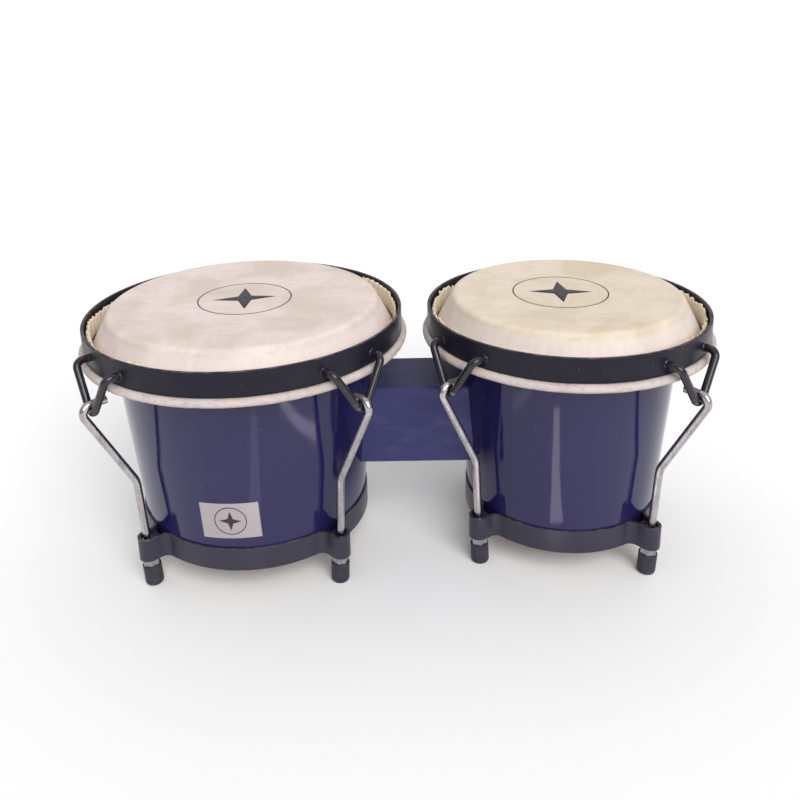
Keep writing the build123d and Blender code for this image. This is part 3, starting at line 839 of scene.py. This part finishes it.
def lights():
    sky()
    data = bpy.data.lights.new("key", "SUN")
    data.energy, data.angle = KEY_STRENGTH, KEY_SOFTNESS
    key = bpy.data.objects.new("key", data)
    key.rotation_euler = KEY_DIRECTION.to_track_quat("-Z", "Y").to_euler()
    bpy.context.scene.collection.objects.link(key)
    floor_streak(LARGE, near=(0.013, -0.135), far=(0.056, -0.27), radiance=1.7)
    floor_streak(SMALL, near=(-0.024, -0.110), far=(-0.070, -0.245), radiance=6.4)


def floor_streak(drum, near, far, radiance):
    """A narrow light lying on the floor, seen only as the soft line that it draws up a shell.

    Its ends are x from the drum's axis and y, in metres."""
    start = Vector((drum.centre_x + near[0], near[1], STREAK_HEIGHT))
    end = Vector((drum.centre_x + far[0], far[1], STREAK_HEIGHT))
    for width in STREAK_WIDTHS:
        data = bpy.data.lights.new(f"{drum.name}_streak", "AREA")
        data.shape, data.size, data.size_y = "RECTANGLE", width, (end - start).length
        data.energy = radiance / len(STREAK_WIDTHS) * math.pi * data.size * data.size_y
        data.color = STREAK_COLOUR
        streak = bpy.data.objects.new(f"{drum.name}_streak", data)
        along = (end - start).normalized()
        down = Vector((0, 0, -1))
        turned = Matrix((along.cross(down), along, down)).transposed().to_4x4()
        streak.matrix_world = Matrix.Translation((start + end) / 2) @ turned
        streak.visible_camera = streak.visible_diffuse = False
        streak.data.use_shadow = False
        bpy.context.scene.collection.objects.link(streak)


def camera():
    data = bpy.data.cameras.new("camera")
    data.sensor_width = 36
    data.lens = CAMERA_LENS
    data.shift_x, data.shift_y = CAMERA_SHIFT
    data.clip_start, data.clip_end = 0.01, 50
    forward = Vector((math.sin(CAMERA_YAW) * math.cos(CAMERA_PITCH),
                      math.cos(CAMERA_YAW) * math.cos(CAMERA_PITCH), -math.sin(CAMERA_PITCH)))
    level = forward.cross(Vector((0, 0, 1))).normalized()
    upright = level.cross(forward)
    right = math.cos(CAMERA_ROLL) * level + math.sin(CAMERA_ROLL) * upright
    up = math.cos(CAMERA_ROLL) * upright - math.sin(CAMERA_ROLL) * level
    view = bpy.data.objects.new("camera", data)
    turned = Matrix((right, up, -forward)).transposed().to_4x4()
    view.matrix_world = Matrix.Translation(CAMERA_PLACE) @ turned
    bpy.context.scene.collection.objects.link(view)
    bpy.context.scene.camera = view


LARGE = Drum("large", hide_warmth=0.2, seed=3.0)
SMALL = Drum("small", hide_warmth=0.9, seed=41.0)

plated, rubber = plated_steel(), moulded_rubber()
nut_zinc, rod_zinc = zinc("nut_zinc", 0.66, 0.32), zinc("tie_zinc", 0.9, 0.36)
for drum in (LARGE, SMALL):
    name = drum.name
    skin_head(drum)
    skin_edge(drum)
    weld_beads(drum)
    head_print(drum)
    paint(lacquered_wood(drum), f"{name}_shell")
    rim_coat = coated_steel(drum, "rim", drum.rim_top, 0.7 * MM, (0.010, 0.009, 0.018), 0.25)
    hoop_coat = coated_steel(drum, "hoop", drum.hoop_top, 0.6 * MM, (0.028, 0.025, 0.044), 0.4)
    paint(rim_coat, f"{name}_rim")
    paint(hoop_coat, f"{name}_bottom_hoop", f"{name}_lug_plates")
    paint(black_wire(drum), f"{name}_rim_loops")
    paint(rod_zinc, f"{name}_flesh_hoop")
    for number in range(1, 5):
        paint(plated, f"{name}_tuning_rod_{number}")
        paint(nut_zinc, f"{name}_tuning_nut_{number}")
        paint(rubber, f"{name}_foot_cap_{number}")
label_print()
paint(painted_block(), "center_block")
paint(rod_zinc, "tie_rods", "tie_washers", "tie_nuts")
paint(brushed_foil(), "label")

floor()
lights()
camera()
bpy.context.scene.view_settings.view_transform = "Standard"
